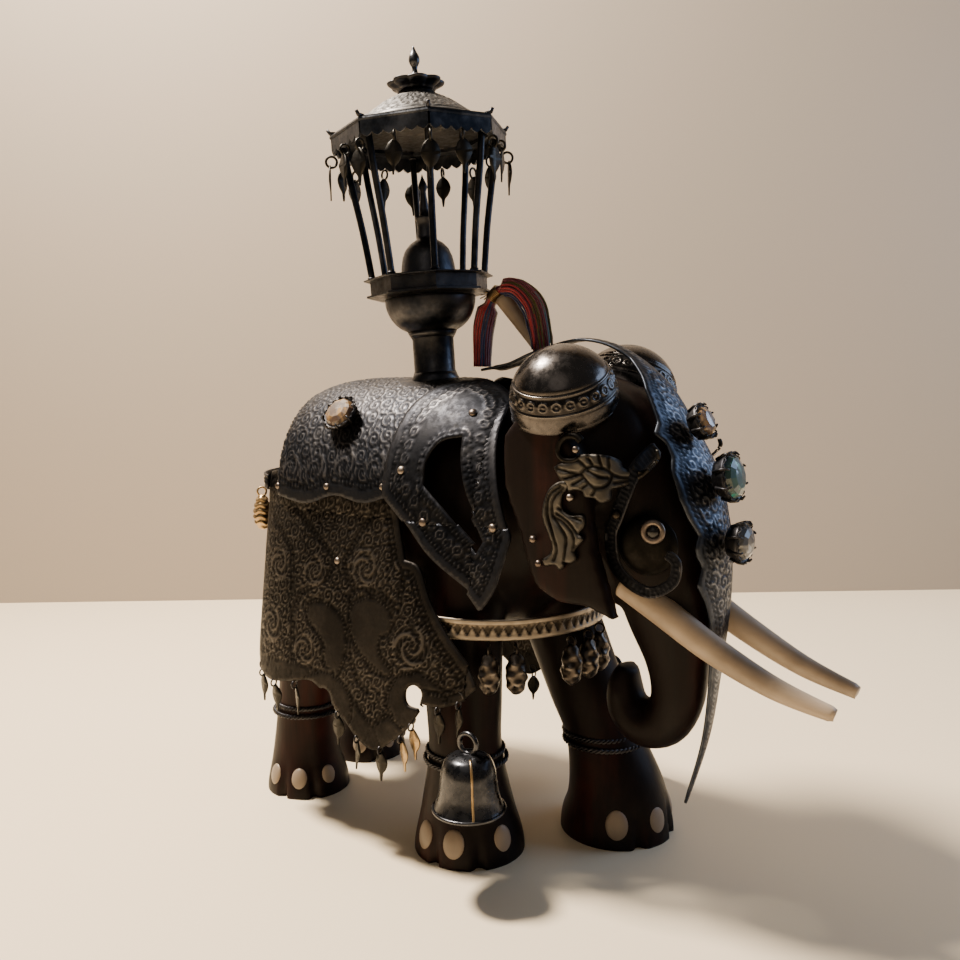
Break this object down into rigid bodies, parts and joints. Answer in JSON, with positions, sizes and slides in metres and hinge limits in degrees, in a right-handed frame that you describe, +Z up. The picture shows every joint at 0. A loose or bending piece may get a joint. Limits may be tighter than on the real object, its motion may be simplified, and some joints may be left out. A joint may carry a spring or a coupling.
{
  "type": "carved elephant figure with canopied shrine",
  "caption": "Carved dark wood elephant in chased metal dress with stone settings, bells, beads and an eight-sided canopied relic shrine on its back.",
  "frame": {"origin": "on the ground under the middle of the figure's overall box", "axes": "the elephant faces -Y, its left side is +X, and +Z is up"},
  "size_m": [0.117, 0.2207, 0.2756],
  "materials": {
    "tarnished_metal": "thin chased sheet, tarnished blue-black, worn bright on its high lines",
    "polished_metal": "domed sheet, handled to a dark shine",
    "warm_metal": "pale cast metal with a warm cast and dark recesses",
    "dark_wood": "close-grained dark red-black wood, waxed and dusty",
    "bone": null,
    "amber_glass": "faceted glass over a dark foil",
    "green_glass": "faceted glass over a dark foil",
    "clear_glass": "faceted glass over a dark foil",
    "silk_thread": "loose twisted silk threads in several colours"
  },
  "bodies": {
    "figure": {"elephant_body": "dark_wood", "ear_left": "dark_wood", "ear_right": "dark_wood", "tusk_left": "bone", "tusk_right": "bone", "head_boss_left": "polished_metal", "head_boss_right": "polished_metal", "face_plate": "tarnished_metal", "brow_setting_top": "tarnished_metal", "brow_setting_middle": "tarnished_metal", "brow_setting_bottom": "tarnished_metal", "brow_stone_top": "amber_glass", "brow_stone_middle": "green_glass", "brow_stone_bottom": "clear_glass", "ear_leaf_left": "tarnished_metal", "ear_leaf_right": "tarnished_metal", "cheek_scroll_left": "tarnished_metal", "cheek_scroll_right": "tarnished_metal", "shoulder_frame_left": "tarnished_metal", "shoulder_frame_right": "tarnished_metal", "saddle_plate": "tarnished_metal", "side_cloth_left": "tarnished_metal", "side_cloth_right": "tarnished_metal", "saddle_setting_left": "tarnished_metal", "saddle_setting_right": "tarnished_metal", "saddle_stone_left": "amber_glass", "saddle_stone_right": "amber_glass", "chest_band": "warm_metal", "rear_strap": "tarnished_metal", "pavilion_stem": "tarnished_metal", "pavilion_bowl": "tarnished_metal", "pavilion_tray": "tarnished_metal", "canopy_frame": "tarnished_metal", "canopy_roof": "tarnished_metal", "crown_flower": "tarnished_metal", "roof_finial": "tarnished_metal", "relic_casket": "tarnished_metal", "plume_peg": "bone", "silk_tassel": "silk_thread"},
    "chest_bead_1_body": {"chest_bead_1": "warm_metal"},
    "chest_bead_2_body": {"chest_bead_2": "warm_metal"},
    "chest_bead_3_body": {"chest_bead_3": "warm_metal"},
    "chest_bead_4_body": {"chest_bead_4": "warm_metal"},
    "chest_bead_5_body": {"chest_bead_5": "warm_metal"},
    "chest_bead_6_body": {"chest_bead_6": "warm_metal"},
    "rear_bead_right_body": {"rear_bead_right": "warm_metal"},
    "rear_bead_left_body": {"rear_bead_left": "warm_metal"},
    "canopy_leaf_1_body": {"canopy_leaf_1": "tarnished_metal"},
    "canopy_leaf_2_body": {"canopy_leaf_2": "tarnished_metal"},
    "canopy_leaf_3_body": {"canopy_leaf_3": "tarnished_metal"},
    "canopy_leaf_4_body": {"canopy_leaf_4": "tarnished_metal"},
    "canopy_leaf_5_body": {"canopy_leaf_5": "tarnished_metal"},
    "canopy_leaf_6_body": {"canopy_leaf_6": "tarnished_metal"},
    "canopy_leaf_7_body": {"canopy_leaf_7": "tarnished_metal"},
    "canopy_leaf_8_body": {"canopy_leaf_8": "tarnished_metal"},
    "bell_right_body": {"bell_right": "tarnished_metal"},
    "clapper_right_body": {"clapper_right": "tarnished_metal"},
    "bell_left_body": {"bell_left": "tarnished_metal"},
    "clapper_left_body": {"clapper_left": "tarnished_metal"}
  },
  "joints": [
    {"name": "chest_bead_1_swing", "type": "hinge", "parent": "figure", "child": "chest_bead_1_body", "pos_m": [-0.03265, -0.0081, 0.07555], "axis": [-0.5, 0.866, 0], "range_deg": [-4, 60]},
    {"name": "chest_bead_2_swing", "type": "hinge", "parent": "figure", "child": "chest_bead_2_body", "pos_m": [-0.02735, -0.01492, 0.07555], "axis": [-0.6884, 0.7254, 0], "range_deg": [-4, 60]},
    {"name": "chest_bead_3_swing", "type": "hinge", "parent": "figure", "child": "chest_bead_3_body", "pos_m": [-0.00976, -0.02497, 0.07555], "axis": [-0.9659, 0.2588, 0], "range_deg": [-4, 60]},
    {"name": "chest_bead_4_swing", "type": "hinge", "parent": "figure", "child": "chest_bead_4_body", "pos_m": [-0.00066, -0.02619, 0.07555], "axis": [-0.9998, 0.0175, 0], "range_deg": [-4, 24]},
    {"name": "chest_bead_5_swing", "type": "hinge", "parent": "figure", "child": "chest_bead_5_body", "pos_m": [0.00848, -0.02527, 0.07555], "axis": [-0.9744, -0.225, 0], "range_deg": [-4, 60]},
    {"name": "chest_bead_6_swing", "type": "hinge", "parent": "figure", "child": "chest_bead_6_body", "pos_m": [0.03329, -0.007, 0.07555], "axis": [-0.4695, -0.8829, 0], "range_deg": [0, 9]},
    {"name": "rear_bead_right_swing", "type": "hinge", "parent": "figure", "child": "rear_bead_right_body", "pos_m": [-0.0236, 0.10594, 0.11765], "axis": [0.5885, 0.8085, 0], "range_deg": [-4, 60]},
    {"name": "rear_bead_left_swing", "type": "hinge", "parent": "figure", "child": "rear_bead_left_body", "pos_m": [0.0236, 0.10594, 0.11765], "axis": [0.5885, -0.8085, 0], "range_deg": [-4, 60]},
    {"name": "canopy_leaf_1_swing", "type": "hinge", "parent": "figure", "child": "canopy_leaf_1_body", "pos_m": [0.0314, 0.04217, 0.23805], "axis": [0, -1, 0], "range_deg": [-4, 70]},
    {"name": "canopy_leaf_2_swing", "type": "hinge", "parent": "figure", "child": "canopy_leaf_2_body", "pos_m": [0.0222, 0.06433, 0.23669], "axis": [0.7071, -0.7071, 0], "range_deg": [-4, 70]},
    {"name": "canopy_leaf_3_swing", "type": "hinge", "parent": "figure", "child": "canopy_leaf_3_body", "pos_m": [0, 0.07351, 0.23612], "axis": [1, 0, 0], "range_deg": [-4, 70]},
    {"name": "canopy_leaf_4_swing", "type": "hinge", "parent": "figure", "child": "canopy_leaf_4_body", "pos_m": [-0.0222, 0.06433, 0.23669], "axis": [0.7071, 0.7071, 0], "range_deg": [-4, 70]},
    {"name": "canopy_leaf_5_swing", "type": "hinge", "parent": "figure", "child": "canopy_leaf_5_body", "pos_m": [-0.0314, 0.04217, 0.23805], "axis": [0, 1, 0], "range_deg": [-4, 70]},
    {"name": "canopy_leaf_6_swing", "type": "hinge", "parent": "figure", "child": "canopy_leaf_6_body", "pos_m": [-0.0222, 0.02001, 0.23942], "axis": [-0.7071, 0.7071, 0], "range_deg": [-4, 70]},
    {"name": "canopy_leaf_7_swing", "type": "hinge", "parent": "figure", "child": "canopy_leaf_7_body", "pos_m": [0, 0.01083, 0.23998], "axis": [-1, 0, 0], "range_deg": [-4, 70]},
    {"name": "canopy_leaf_8_swing", "type": "hinge", "parent": "figure", "child": "canopy_leaf_8_body", "pos_m": [0.0222, 0.02001, 0.23942], "axis": [-0.7071, -0.7071, 0], "range_deg": [-4, 70]},
    {"name": "bell_right_swing", "type": "hinge", "parent": "figure", "child": "bell_right_body", "pos_m": [-0.047, -0.01, 0.0512], "axis": [1, 0, 0], "range_deg": [-40, 20]},
    {"name": "clapper_right_swing", "type": "hinge", "parent": "bell_right_body", "child": "clapper_right_body", "pos_m": [-0.047, -0.01, 0.043], "axis": [1, 0, 0], "range_deg": [-24, 24]},
    {"name": "bell_left_swing", "type": "hinge", "parent": "figure", "child": "bell_left_body", "pos_m": [0.047, -0.01, 0.0512], "axis": [1, 0, 0], "range_deg": [-40, 20]},
    {"name": "clapper_left_swing", "type": "hinge", "parent": "bell_left_body", "child": "clapper_left_body", "pos_m": [0.047, -0.01, 0.043], "axis": [1, 0, 0], "range_deg": [-24, 24]}
  ]
}
